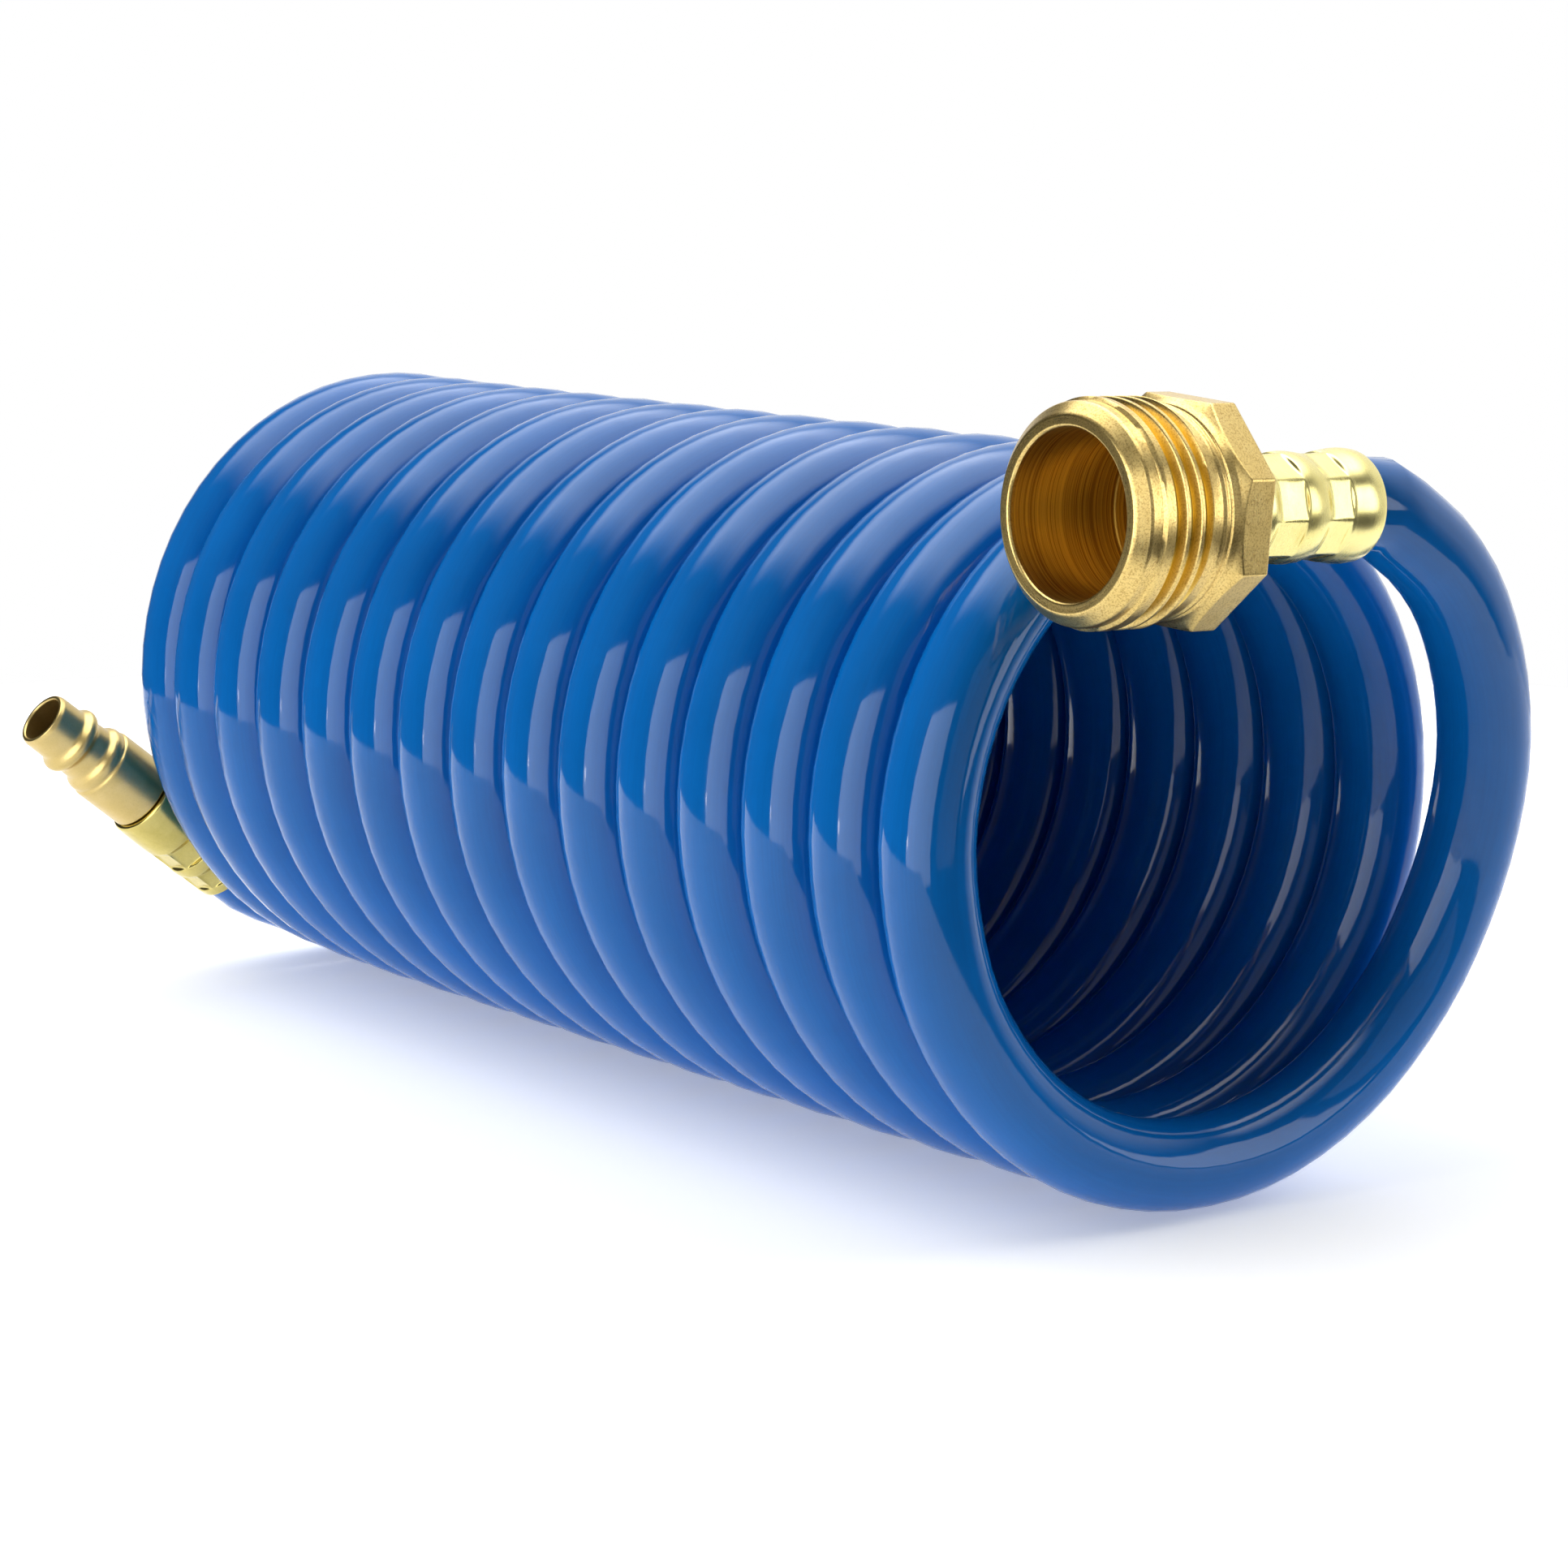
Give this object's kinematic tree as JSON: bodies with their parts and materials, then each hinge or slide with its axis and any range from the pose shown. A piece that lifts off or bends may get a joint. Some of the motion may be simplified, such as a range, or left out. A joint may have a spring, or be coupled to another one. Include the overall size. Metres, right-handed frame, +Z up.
{
  "type": "coiled air hose",
  "caption": "Self-coiling blue hose with a crimped brass male hose thread on one end and a crimped brass quick-connect plug on the other.",
  "frame": {"origin": "middle of the whole object's footprint, on the surface that the coil lies on", "axes": "+X along the coil's axis towards the threaded end, +Z up, the fittings' noses point towards -Y"},
  "size_m": [0.2334, 0.108, 0.1044],
  "materials": {
    "hose_blue": "glossy extruded polyurethane, royal blue",
    "brass_turned": "turned and milled, satin with fine lathe lines",
    "brass_ferrule": "bright drawn sleeve, crimp dents, lemon tone",
    "brass_plug": "bright turned, pale gold"
  },
  "bodies": {
    "coil": {"hose_coil": "hose_blue", "hose_far_turn": "hose_blue", "hose_far_end": "hose_blue", "far_ferrule": "brass_ferrule", "quick_plug": "brass_plug"},
    "threaded_end": {"hose_near_lead": "hose_blue", "hose_near_end": "hose_blue", "near_ferrule": "brass_ferrule", "thread_fitting": "brass_turned"}
  },
  "joints": [
    {"name": "coil_stretch", "type": "slide", "parent": "coil", "child": "threaded_end", "axis": [1, 0, 0], "range_m": [0, 1], "stiffness_N_per_m": 6, "springref_m": -0.15, "deforming": ["hose_coil"]}
  ]
}
